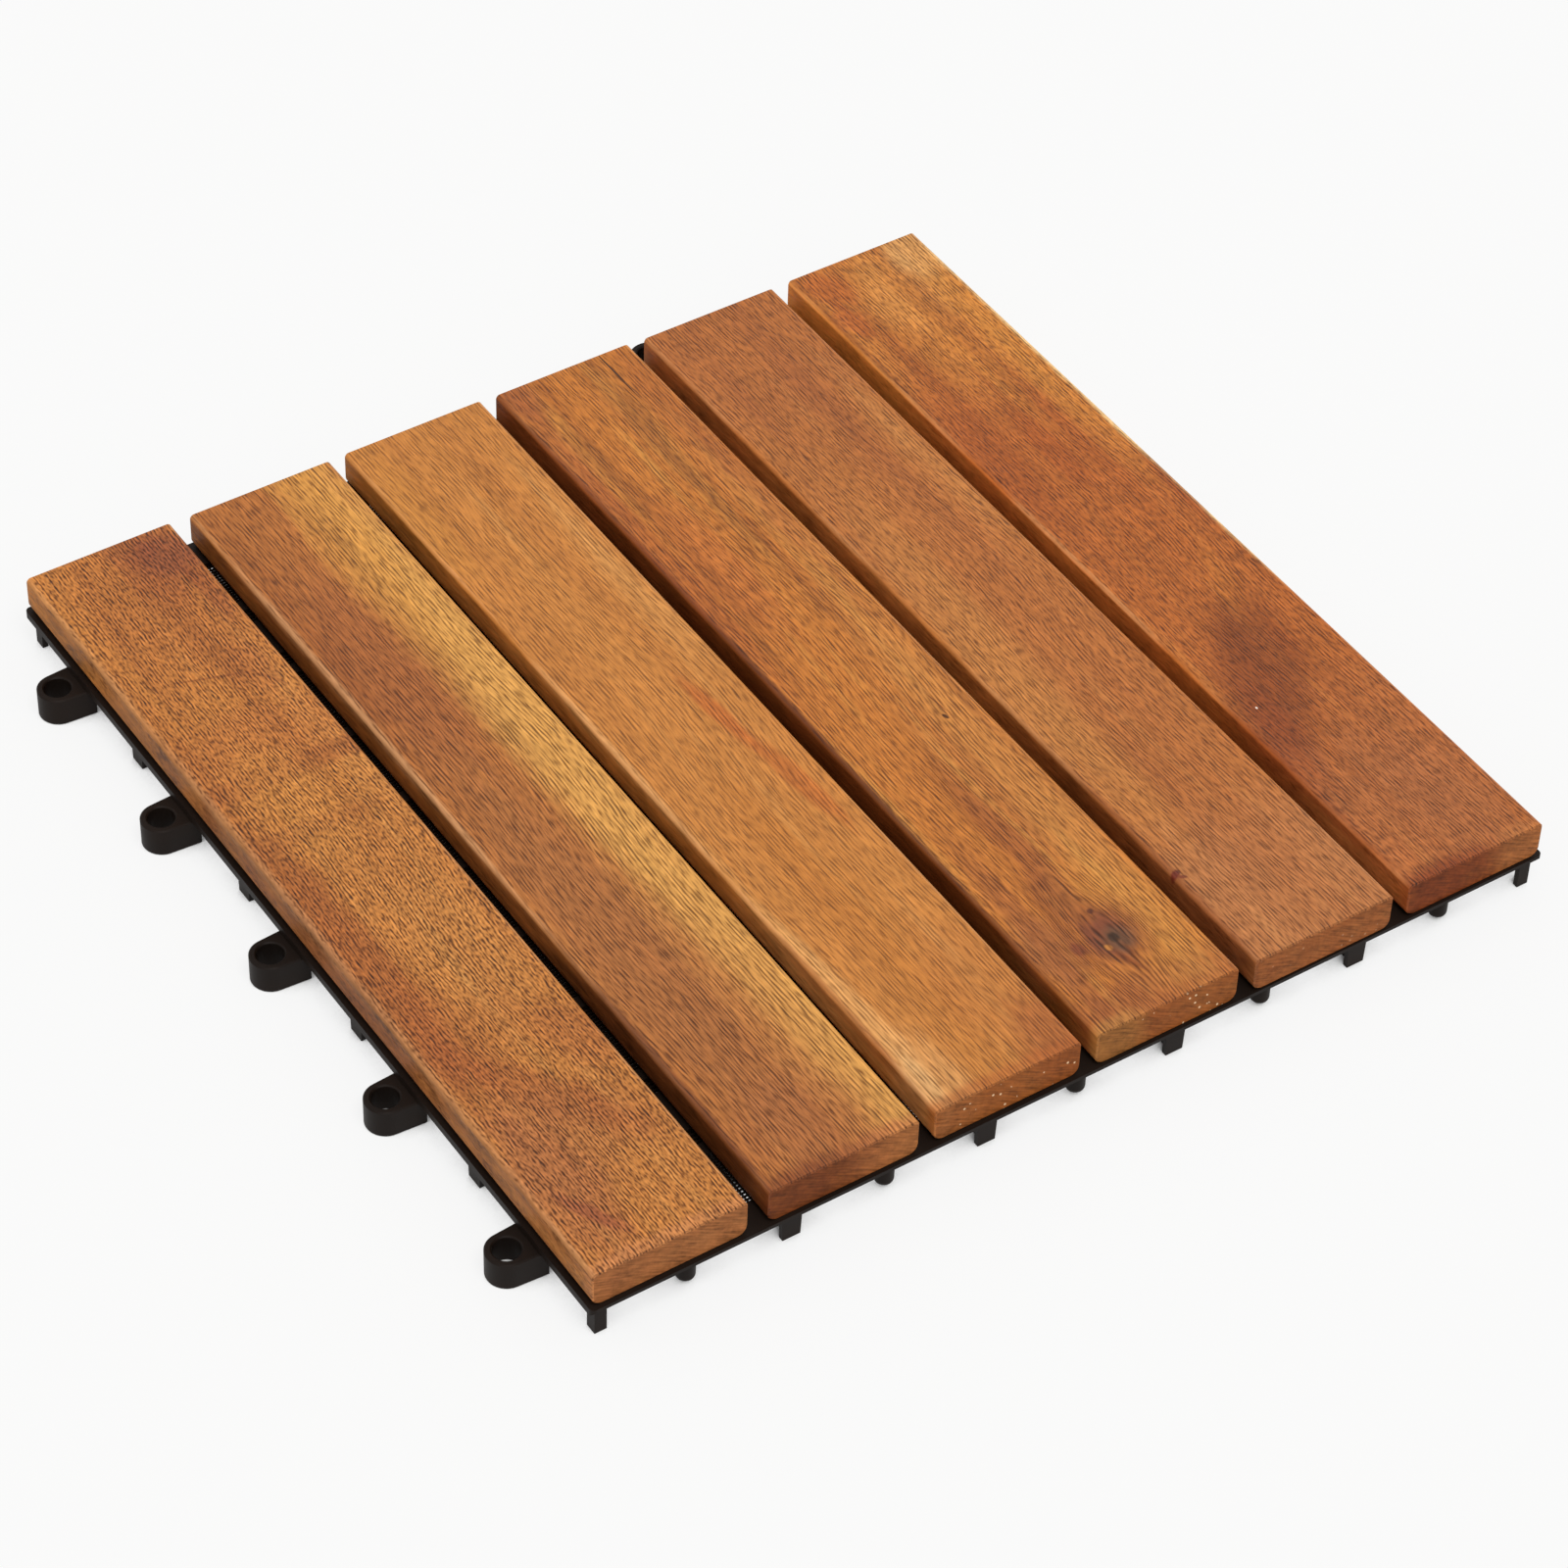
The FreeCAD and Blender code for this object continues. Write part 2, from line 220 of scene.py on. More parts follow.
# The slats from left to right, seen from the front edge. Each cloud lies over those before it.
WOODS = {
    # Interlocked grain: short pores and cross bands of darker figure
    "slat_1": Wood(
        deep="#8C4E26", pale="#D09A58", streaks=0.35, fibres=1.5, fibre_length=1.6, mottling=0.6,
        side_light=-0.05,
        end_clouds=(Cloud(0, -150, 60, 4, "#BE7C50", 0.45),),
        clouds=(
            # The back half, browner towards its end, with one dark corner
            Cloud(0, 90, 60, 70, "#B87233", 0.4),
            Cloud(8, 124, 22, 36, "#A15C2E", 0.42),
            Cloud(15, 138, 9, 9, "#6E3C30", 0.6),
            Cloud(12, 135, 10, 16, "#8E4A2A", 0.45, turn=-20),
            Cloud(8, 146, 8, 7, "#84442C", 0.4, turn=30),
            # Dark bands across the grain
            Cloud(0, 45, 60, 4.2, "#8C4A24", 0.55, ragged=0.35),
            Cloud(4, 60, 30, 12, "#A86032", 0.3),
            Cloud(-10, 22, 24, 3.6, "#8E4C26", 0.45, ragged=0.4),
            # Darker along both edges
            Cloud(14, 85, 6, 12, "#94502A", 0.35),
            Cloud(-18, -30, 8, 60, "#894522", 0.6),
            Cloud(-20, 45, 3, 60, "#9A5A2A", 0.4),
            # Patches of the front half, and two more behind
            Cloud(7, -36, 12, 26, "#C48646", 0.25),
            Cloud(16, -78, 7, 14, "#8E4A26", 0.4, turn=10),
            Cloud(-14, -120, 10, 28, "#9A5838", 0.45),
            Cloud(18.5, 120, 3, 14, "#8A4626", 0.5),
            Cloud(-4, 34, 14, 22, "#C48440", 0.4),
            # Slanting dark patches of the front half
            Cloud(-1, -92, 6.5, 30, "#8E4A26", 0.5, turn=33),
            Cloud(-12, -62, 7, 22, "#9A542A", 0.4),
            Cloud(12, -104, 7, 13, "#94502A", 0.25, turn=20),
            # Two scratches
            Cloud(2, 87, 11, 0.45, "#7A4020", 0.6, turn=-18, ragged=0.3, edge=0.6),
            Cloud(15.3, 79, 5.5, 0.6, "#7A4020", 0.5, turn=-59, ragged=0.3, edge=0.6),
            # A dark streak near the front, and duller wood behind it
            Cloud(-12, -132, 2.2, 11, "#84402C", 0.6, turn=28),
            Cloud(-8, -108, 14, 20, "#9C6038", 0.45),
            Cloud(2, -64, 8, 12, "#A0602F", 0.3),
            # The left side, and its worn arris lightened by a painted highlight
            Cloud(-25, 0, 3.0, 170, "#855434", 0.65),
            Cloud(-22.5, 0, 1.6, 170, "#C89A6C", 0.2, half_depth=3.0),
        )),
    # A golden sapwood band along the right half beside brown heartwood
    "slat_2": Wood(
        deep="#7F4622", pale="#CB8C44", streaks=0.25, fibres=1.1, fibre_length=3.8, mottling=0.5,
        end_clouds=(
            Cloud(14, -150, 12, 4, "#B87040", 0.7),
            Cloud(-13, -150, 17, 4, "#70361C", 0.7, ragged=0.6, edge=0.7),
        ),
        clouds=(
            # The golden band, wider at the back
            Cloud(17, -5, 11.0, 220, "#D2994E", 0.85, turn=1.6, ragged=0.4, edge=0.5),
            Cloud(9, 118, 8, 60, "#CB8A3E", 0.55, turn=-2),
            # Darker wood left of the band
            Cloud(-7, 66, 12, 42, "#87482A", 0.4),
            Cloud(-19, 92, 4, 50, "#80441F", 0.4),
            Cloud(-8, -60, 13, 80, "#8E5C38", 0.35, turn=2),
            # Patches of the front third
            Cloud(12, -105, 8, 50, "#A86A38", 0.3),
            Cloud(-4, -134, 16, 16, "#96593C", 0.2),
            Cloud(6, -92, 4, 60, "#B8783E", 0.4, turn=1.6),
            # The left arris, dark in front, and worn pale behind with a painted highlight
            Cloud(-22.5, -106, 1.6, 56, "#5E3018", 0.8),
            Cloud(-22.5, 50, 1.5, 80, "#C09064", 0.5, half_depth=3.0),
        )),
    # Even honey colour with faint streaks
    "slat_3": Wood(
        deep="#A5622E", pale="#D8A260", streaks=0.3, fibres=0.8, fibre_length=4.0, mottling=0.45,
        specks=1.0, side_light=0.05,
        end_clouds=(Cloud(0, -150, 60, 4, "#A45A2A", 0.6),),
        clouds=(
            # The left edge, palest at the front corner
            Cloud(-20, -105, 3.5, 42, "#DCA262", 0.6, turn=4),
            Cloud(-16, -140, 7, 18, "#DAA266", 0.38),
            Cloud(-22.6, -110, 1.2, 40, "#96562A", 0.6, half_depth=4.0),
            Cloud(-20, -140, 3, 12, "#E0B47C", 0.35),
            # The worn left arris, lightened by a painted highlight
            Cloud(-22.5, 0, 1.5, 46, "#D29A60", 0.55, half_depth=3.0),
            # Two red streaks
            Cloud(10, 2, 2.4, 16, "#B45A26", 0.6, turn=5),
            Cloud(14, -30, 3.0, 20, "#B25A24", 0.55, turn=6),
            # Broad patches, the darkest at the front right corner
            Cloud(-2, -80, 8, 60, "#B46E2C", 0.4, turn=2),
            Cloud(18, -144, 9, 16, "#98522A", 0.7),
            Cloud(12, -122, 12, 28, "#B06A34", 0.35),
            Cloud(-17, 115, 7, 30, "#BC7C36", 0.5),
        )),
    # Medium brown with a knot near the front, a drying split at the back and a purple edge
    "slat_4": Wood(
        deep="#82461F", pale="#CF9448", streaks=0.7, fibres=1.0, fibre_length=3.8, mottling=0.6,
        specks=1.0, side_light=0.4, knot=(0.3, -123.5),
        end_clouds=(
            Cloud(-17, -150, 10, 4, "#B47E42", 0.55),
            Cloud(8, -150, 18, 4, "#A8602F", 0.4),
        ),
        clouds=(
            # The purple brown left edge, and red wood beside it
            Cloud(-22.9, 20, 1.8, 190, "#54260F", 0.9, ragged=0.3),
            Cloud(-19, 60, 3, 60, "#A65228", 0.4),
            Cloud(-8, 52, 8, 30, "#B05E2E", 0.4),
            # Streaks of the back third
            Cloud(6.5, 100, 2.4, 54, "#CA883E", 0.75),
            Cloud(16, 92, 5, 50, "#A5602E", 0.45),
            Cloud(-14, 114, 3, 28, "#C6863E", 0.6),
            # Darker wood along the front left edge and the front
            Cloud(-16, -114, 4, 40, "#83462C", 0.4, turn=-2),
            Cloud(2, -145, 26, 9, "#93522F", 0.6),
            # Patches from back to front
            Cloud(-17, 145, 5, 12, "#92502E", 0.6),
            Cloud(14, -60, 8, 90, "#C08648", 0.35),
            Cloud(3, -62, 5, 45, "#9A5C30", 0.35),
            Cloud(-15, -119, 8, 14, "#8A5230", 0.5),
            Cloud(-19, 115, 4, 36, "#94522A", 0.5),
            Cloud(7, 118, 4, 30, "#CC8A42", 0.5),
            Cloud(18, 118, 4, 32, "#9A5428", 0.4),
            Cloud(19, 62, 3.5, 46, "#A0582C", 0.45),
            # Darker wood behind the knot
            Cloud(-1, -86, 3.6, 36, "#92502A", 0.55, turn=3),
            Cloud(-3, -107, 5.5, 14, "#7C4226", 0.6, turn=10),
            # The knot: golden flank, brown ring, dark eye, cracks and a small mark behind it
            Cloud(10, -122, 14, 26, "#C2823A", 0.4),
            Cloud(0.5, -122, 10, 13, "#8C4C2A", 0.7, ragged=0.6, edge=0.6),
            Cloud(-8.9, -122, 2.0, 2.4, "#662E24", 0.7, turn=20, ragged=0.7, edge=0.5, half_depth=8.0),
            Cloud(0.3, -122, 6.2, 7.6, "#69382A", 0.75, ragged=0.6, half_depth=12.0),
            Cloud(2.0, -124.5, 4.4, 4.6, "#54412F", 0.65, edge=0.5, half_depth=8.0),
            Cloud(1.2, -123.2, 1.5, 1.7, "#2A2016", 0.9, edge=0.4, half_depth=6.0),
            Cloud(-2.0, -125.6, 0.9, 1.2, "#C07E3C", 0.9, turn=20, ragged=0.4, edge=0.4, half_depth=3.0),
            Cloud(0.0, -132, 0.9, 5.5, "#6A341C", 0.7, turn=20, edge=0.5, half_depth=6.0),
            Cloud(2.8, -131, 0.7, 5.0, "#74401F", 0.5, turn=8, edge=0.5, half_depth=6.0),
            Cloud(1.5, -112.3, 0.8, 1.0, "#4A221A", 0.8, edge=0.4, half_depth=3.0),
            # A drying split at the back, and a small chip with its streak
            Cloud(12.3, 139, 0.3, 12, "#331A0C", 0.95, ragged=0.0, edge=0.3, half_depth=8.0),
            Cloud(11.6, -31, 0.55, 1.2, "#3F200F", 0.95, turn=15, ragged=0.2, edge=0.3, half_depth=3.0),
            Cloud(12.6, -25, 0.3, 4.5, "#6E3A18", 0.8, turn=6, ragged=0.2, edge=0.3, half_depth=3.0),
        )),
    # Even red brown, fine pores, a red speck at the left arris
    "slat_5": Wood(
        deep="#8F502C", pale="#C88A4C", streaks=0.4, fibres=0.95, fibre_length=3.0, mottling=0.5,
        specks=0.2,
        clouds=(
            # Broad patches
            Cloud(-13, -20, 9, 76, "#C08042", 0.5),
            Cloud(0, 130, 60, 34, "#9C5830", 0.35),
            # A paler, greyer front: painted sheen over the wood
            Cloud(0, -135, 60, 34, "#B47C56", 0.3),
            Cloud(3, 90, 11, 26, "#9A5830", 0.25),
            # The dark left arris, and redder wood in the middle
            Cloud(-22.5, -106, 1.6, 60, "#78401F", 0.6),
            Cloud(6, -40, 14, 120, "#A96232", 0.4),
            # A dark red speck at the left arris
            Cloud(-21.6, -112.6, 1.7, 1.0, "#5E1A18", 0.85, turn=25, ragged=0.7, edge=0.4, half_depth=4.0),
            Cloud(-20.6, -114.4, 1.2, 0.6, "#5E1A18", 0.7, turn=-30, ragged=0.7, edge=0.4, half_depth=4.0),
        )),
    # Mottled orange red, a dark plume in the front half and a pale edge of sapwood
    "slat_6": Wood(
        deep="#85401A", pale="#D48C44", streaks=0.4, fibres=1.0, fibre_length=2.4, mottling=1.6,
        side_light=0.55,
        end_clouds=(
            Cloud(16, -150, 9, 4, "#B87440", 0.6),
            Cloud(-12, -150, 17, 4, "#7C3618", 0.75, ragged=0.6, edge=0.7),
        ),
        clouds=(
            # The paler back end with two red spots
            Cloud(2, 122, 60, 44, "#C57F38", 0.5),
            Cloud(6, 130, 14, 20, "#D79850", 0.35, turn=-10),
            Cloud(-15, 140, 6, 9, "#A85022", 0.5, turn=20, ragged=0.8),
            Cloud(-17, 124, 4, 8, "#A84E24", 0.5, turn=10, ragged=0.9),
            # Streaks and patches of the back half and the middle
            Cloud(-16, 62, 7, 44, "#964A20", 0.4, turn=-4),
            Cloud(5, 98, 3.5, 46, "#CB8238", 0.5),
            Cloud(0, 20, 16, 44, "#A65A26", 0.4),
            Cloud(3, -48, 4, 34, "#BE7832", 0.3, turn=-13),
            Cloud(0, 46, 4, 20, "#94481E", 0.5),
            Cloud(17, 32, 5, 34, "#A85C2A", 0.5),
            Cloud(17, 141, 8, 12, "#D4A468", 0.5),
            # The dark plume
            Cloud(-2, -60, 11, 28, "#84421E", 0.75, turn=-20, ragged=0.4),
            Cloud(-10, -68, 12, 32, "#824420", 0.7, turn=-20, ragged=0.4),
            # Patches of the front, and the pale right edge behind
            Cloud(-17, -92, 6, 24, "#843F22", 0.45, turn=-8),
            Cloud(7, -102, 7, 40, "#98501F", 0.5, turn=-6),
            Cloud(10, -125, 12, 26, "#9E5628", 0.5),
            Cloud(18, 84, 6, 56, "#C98438", 0.45),
            Cloud(14, -112, 24, 40, "#A0623A", 0.35),
            Cloud(-6, -130, 26, 32, "#A2643C", 0.45),
            # The arrises: pale sapwood on the right, darker on the left
            Cloud(22.6, 60, 1.6, 90, "#E6BC80", 0.9, ragged=0.6),
            Cloud(21.4, 14, 2.4, 16, "#8C4420", 0.6, ragged=0.8),
            Cloud(-21.4, 110, 0.8, 40, "#6A3418", 0.5),
            Cloud(-22.5, -100, 1.6, 44, "#84401C", 0.5, half_depth=4.0),
            Cloud(22.6, -3, 1.2, 4, "#F0CC94", 0.95),
            # A white speck
            Cloud(-15.6, -73, 0.3, 0.45, "#F4E8DC", 1.0, ragged=0.2, edge=0.3, half_depth=3.0),
        )),
}

# Sizes of the wood's figure in mm. Spans run across, along and through the slat.
WAVE_SPANS = (60.0, 110.0, 60.0)
WAVE_DRIFT = (9.0, 0.0, 7.0)
KNOT_REACH = (13.0, 34.0, 60.0)
KNOT_PULL = 9.0
CLOUD_HEIGHT = 6.0
CLOUD_RIM_SPANS = (3.0, 18.0, 3.0)
TONE_SPANS = (10.0, 170.0, 10.0)
WORN_ARRIS_AND_HIGHLIGHT_SPANS = (6.0, 40.0, 6.0)
STREAK_SPANS = (1.6, 34.0, 1.6)
MOTTLE_SPANS = (11.0, 6.0, 11.0)
MOTTLE_TURN = math.radians(24)
RAY_SPANS = (8.0, 6.0, 0.7)
RAY_TILT = math.radians(-28)
SAWN_SPANS = (4.0, 9.0, 3.0)
SPECK_SPACING = 2.0
SPECK_GROUP_SPANS = (9.0, 9.0, 9.0)

# Where a mask starts to rise and where it is full: how far a face leans to one axis, or to two at once, and
# how near the middle of a cell a speck or a pore lies
FACE_RISE = (0.6, 0.9)
ARRIS_RISE = (0.08, 0.35)
SAWN_EDGE_RISE = (0.1, 0.4)
SPECK_RISE = (0.24, 0.14)
PORE_RISE = (0.42, 0.20)

# A cell has a speck where its own number, times its share, and its group's add up to the limit
SPECK_OWN_SHARE = 0.35
SPECK_LIMIT = 0.78

# Fibres and pores. These spans count fibre lengths along the slat, and the pitch is in mm. The wander is in
# radians of the fibre's wave, and the last two say how much smoother sides and arrises are.
WANDER_SPANS = (2.0, 3.0, 2.0)
FIBRE_SPANS = (1.2, 2.6, 1.2)
GRIT_SPANS = (0.5, 1.0, 0.5)
PORE_SPANS = (0.8, 2.2, 0.8)
FIBRE_PITCH = 1.0
WANDER_TURN = 6.0
GRIT_SWING = 2.4
SIDE_CALM = 0.6
ARRIS_CALM = 0.5

# Brightness of the planed top, what the faces add to it or take from it, and how far each noise swings it
TOP_LEVEL = 1.13
END_LEVEL = -0.40
SAWN_EDGE_LEVEL = -0.28
# Painted highlight: the rounded arrises are made lighter than the top, as if they caught the light
ARRIS_HIGHLIGHT_LEVEL = 0.12
# Painted shade: the long sides, which stand in the shade of the gaps, are made darker, partly also for their
# duller sawn wood
SIDE_SHADE_LEVEL = -0.55
RAY_SWING = 1.3
FIBRE_SWING = 0.36
STREAK_SWING = 0.7
MOTTLE_SWING = 0.55

# Colours over the ground and how much of each shows at most: worn arrises with a painted highlight, redder
# ends, specks, and what the wood is multiplied by between its fibres and in its pores
WORN_ARRIS_AND_HIGHLIGHT_CODE = "#CC9462"
WORN_ARRIS_AND_HIGHLIGHT_SHARE = 0.4
END_CODE = "#A0501E"
END_SHARE = 0.45
SPECK_CODE = "#EECBA2"
FIBRE_SHADE_CODE = "#B5A286"
FIBRE_SHADE = 0.62
PORE_SHADE = 0.30


def grain_point(tree, centre, knot):
    """Place in the wood in mm from the slat's middle, plain and drawn aside by slow waves and the knot."""
    point = point_in_mm(tree, centre)
    waves = stretched_noise(tree, point, WAVE_SPANS, detail=1.0).node.outputs["Color"]
    bent = add_node(tree, "VectorMath", {0: waves, 1: WAVE_DRIFT, 2: point}, operation="MULTIPLY_ADD")
    if knot:
        bent = round_the_knot(tree, point, bent, knot)
    return point, bent


def round_the_knot(tree, point, bent, knot):
    """Grain lines that part round a knot: places near it are pulled towards its middle line."""
    near = add_node(tree, "Mapping",
                    {"Vector": point, "Location": (knot[0], knot[1], 0.0), "Scale": KNOT_REACH},
                    vector_type="TEXTURE")
    away = add_node(tree, "VectorMath", {0: near}, operation="LENGTH").node.outputs["Value"]
    pull = add_node(tree, "MapRange",
                    {"Value": away, "From Min": 1.0, "From Max": 0.1, "To Min": 0.0, "To Max": -KNOT_PULL},
                    interpolation_type="SMOOTHSTEP")
    side = add_node(tree, "SeparateXYZ", {"Vector": near})
    moved = add_node(tree, "Math", {0: side, 1: pull}, operation="MULTIPLY")
    shift = add_node(tree, "CombineXYZ", {"X": moved})
    return add_node(tree, "VectorMath", {0: bent, 1: shift}, operation="ADD")


def lay_over(tree, colour, code, value, start, stop, share):
    """Lays another colour over one: none of it where a value is at start, and a share of it at stop."""
    amount = add_node(tree, "MapRange",
                      {"Value": value, "From Min": start, "From Max": stop, "To Min": 0.0, "To Max": share},
                      interpolation_type="SMOOTHSTEP")
    return add_node(tree, "Mix", {"Factor": amount, "A": colour, "B": opaque(linear(code))},
                    data_type="RGBA")


def add_clouds(tree, point, colour, clouds):
    """Lays each cloud over the colour: an ellipse with a soft edge that noise makes ragged."""
    rough = stretched_noise(tree, point, CLOUD_RIM_SPANS, detail=4.0, roughness=0.65)
    for cloud in clouds:
        place = add_node(tree, "Mapping",
                         {"Vector": point, "Location": (cloud.across, cloud.along, CLOUD_HEIGHT),
                          "Rotation": (0.0, 0.0, math.radians(cloud.turn)),
                          "Scale": (cloud.half_width, cloud.half_length, cloud.half_depth)},
                         vector_type="TEXTURE")
        reach = add_node(tree, "VectorMath", {0: place}, operation="LENGTH").node.outputs["Value"]
        reach = add_node(tree, "Math", {0: rough, 1: cloud.ragged * 2, 2: reach}, operation="MULTIPLY_ADD")
        rim = 1.0 + cloud.ragged
        colour = lay_over(tree, colour, cloud.code, reach, rim + cloud.edge, rim - cloud.edge,
                          cloud.strength)
    return colour


def face_masks(tree):
    """The masks of a slat's faces, each rising from 0 to 1 as the face turns its way."""
    normal = add_node(tree, "NewGeometry").node.outputs["Normal"]
    size = add_node(tree, "VectorMath", {0: normal}, operation="ABSOLUTE")
    parts = add_node(tree, "SeparateXYZ", {"Vector": size}).node.outputs
    arris = add_node(tree, "Math", {0: parts["X"], 1: parts["Z"]}, operation="MULTIPLY")
    sawn_edge = add_node(tree, "Math", {0: parts["Y"], 1: parts["Z"]}, operation="MULTIPLY")
    leans = ((parts["Y"], FACE_RISE), (parts["X"], FACE_RISE), (arris, ARRIS_RISE),
             (sawn_edge, SAWN_EDGE_RISE))
    masks = [add_node(tree, "MapRange", {"Value": lean, "From Min": rise[0], "From Max": rise[1]},
                      interpolation_type="SMOOTHSTEP") for lean, rise in leans]
    return Faces(*masks)


def end_specks(tree, point, colour, ends, amount):
    """Pale mineral specks, about half a millimetre, strewn in groups on a slat's end grain. A speck is the
    middle of a cell, and few cells have one."""
    scaled = add_node(tree, "VectorMath", {0: point, 1: (1 / SPECK_SPACING,) * 3}, operation="MULTIPLY")
    cells = add_node(tree, "TexVoronoi", {"Vector": scaled, "Scale": 1.0}).node
    near = add_node(tree, "MapRange",
                    {"Value": cells.outputs["Distance"], "From Min": SPECK_RISE[0],
                     "From Max": SPECK_RISE[1]}, interpolation_type="SMOOTHSTEP")
    chosen = add_node(tree, "SeparateXYZ", {"Vector": cells.outputs["Color"]})
    group = stretched_noise(tree, point, SPECK_GROUP_SPANS, detail=1.0)
    few = add_node(tree, "Math", {0: chosen, 1: SPECK_OWN_SHARE, 2: group}, operation="MULTIPLY_ADD")
    few = add_node(tree, "Math", {0: few, 1: SPECK_LIMIT}, operation="GREATER_THAN")
    mask = near
    for factor in (few, ends, amount):
        mask = add_node(tree, "Math", {0: mask, 1: factor}, operation="MULTIPLY")
    return add_node(tree, "Mix", {"Factor": mask, "A": colour, "B": opaque(linear(SPECK_CODE))},
                    data_type="RGBA")


def fibre_noises(tree, bent, wood, faces):
    """Fibres as fine lines along the grain, FIBRE_PITCH mm apart across it, and the sparser open pores among
    them. Neither shows on the ends, where they are cut across, and sides and arrises are smoother.
    The fibre is 0.5 + calm * (strength * sin(turns) + grit): noise bends the wave and breaks its lines."""

    def spans(counts):
        return counts[0], counts[1] * wood.fibre_length, counts[2]

    calm = add_node(tree, "Math", {0: faces.sides, 1: -SIDE_CALM, 2: 1.0}, operation="MULTIPLY_ADD")
    calm = add_node(tree, "Math", {0: faces.arrises, 1: -ARRIS_CALM, 2: calm}, operation="MULTIPLY_ADD")
    calm = add_node(tree, "Math", {0: calm, 1: faces.ends}, operation="SUBTRACT", use_clamp=True)
    across = add_node(tree, "SeparateXYZ", {"Vector": bent})
    wander = stretched_noise(tree, bent, spans(WANDER_SPANS), detail=1.0)
    turns = add_node(tree, "Math", {0: wander, 1: WANDER_TURN}, operation="MULTIPLY")
    turns = add_node(tree, "Math", {0: across, 1: math.tau / FIBRE_PITCH, 2: turns},
                     operation="MULTIPLY_ADD")
    wave = add_node(tree, "Math", {0: turns}, operation="SINE")
    strength = stretched_noise(tree, bent, spans(FIBRE_SPANS), detail=0.0)
    strength = add_node(tree, "MapRange", {"Value": strength, "From Min": 0.3, "From Max": 0.7},
                        interpolation_type="SMOOTHSTEP")
    grit = stretched_noise(tree, bent, spans(GRIT_SPANS), detail=0.0)
    grit = add_node(tree, "Math", {0: grit, 1: GRIT_SWING, 2: -GRIT_SWING / 2}, operation="MULTIPLY_ADD")
    both = add_node(tree, "Math", {0: wave, 1: strength, 2: grit}, operation="MULTIPLY_ADD")
    fibre = add_node(tree, "Math", {0: both, 1: calm, 2: 0.5}, operation="MULTIPLY_ADD")
    cells = add_node(tree, "VectorMath", {0: bent, 1: tuple(1 / span for span in spans(PORE_SPANS))},
                     operation="MULTIPLY")
    away = add_node(tree, "TexVoronoi", {"Vector": cells, "Scale": 1.0})
    pores = add_node(tree, "MapRange", {"Value": away, "From Min": PORE_RISE[0], "From Max": PORE_RISE[1]},
                     interpolation_type="SMOOTHSTEP")
    return fibre, add_node(tree, "Math", {0: pores, 1: calm}, operation="MULTIPLY")


def swing(tree, value, amount, total):
    """Adds noise to a brightness: its part above or below the middle, 0.5, times the amount."""
    lowered = add_node(tree, "Math", {0: total, 1: amount * 0.5}, operation="SUBTRACT")
    return add_node(tree, "Math", {0: value, 1: amount, 2: lowered}, operation="MULTIPLY_ADD")


def wood_brightness(tree, bent, wood, fibre, faces):
    """Light and dark of the wood about 1: fibres, streaks, mottling across them, darker ends with slanting
    rays, sawn sides darkened by painted shade, and arrises lightened by a painted highlight."""
    tilted = add_node(tree, "Mapping", {"Vector": bent, "Rotation": (0.0, RAY_TILT, 0.0)})
    rays = stretched_noise(tree, tilted, RAY_SPANS)
    rays = add_node(tree, "Math", {0: rays, 1: RAY_SWING, 2: -RAY_SWING / 2}, operation="MULTIPLY_ADD")
    turned = add_node(tree, "Mapping", {"Vector": bent, "Rotation": (0.0, 0.0, MOTTLE_TURN)})
    mottle = stretched_noise(tree, turned, MOTTLE_SPANS, detail=4.0, roughness=0.65)
    streak = stretched_noise(tree, bent, STREAK_SPANS, detail=3.0, roughness=0.6)
    # Saw marks on the long sides, darkened by the painted shade of the gaps and lightened by each slat's
    # side_light
    marks = stretched_noise(tree, bent, SAWN_SPANS)
    marks = add_node(tree, "Math", {0: marks, 1: wood.side_light + SIDE_SHADE_LEVEL}, operation="ADD")
    total = TOP_LEVEL
    for mask, change in ((faces.ends, END_LEVEL), (faces.sawn_edges, SAWN_EDGE_LEVEL),
                         (faces.arrises, ARRIS_HIGHLIGHT_LEVEL), (faces.ends, rays), (faces.sides, marks)):
        total = add_node(tree, "Math", {0: mask, 1: change, 2: total}, operation="MULTIPLY_ADD")
    total = swing(tree, fibre, FIBRE_SWING * wood.fibres, total)
    total = swing(tree, streak, STREAK_SWING, total)
    return swing(tree, mottle, MOTTLE_SWING * wood.mottling, total)


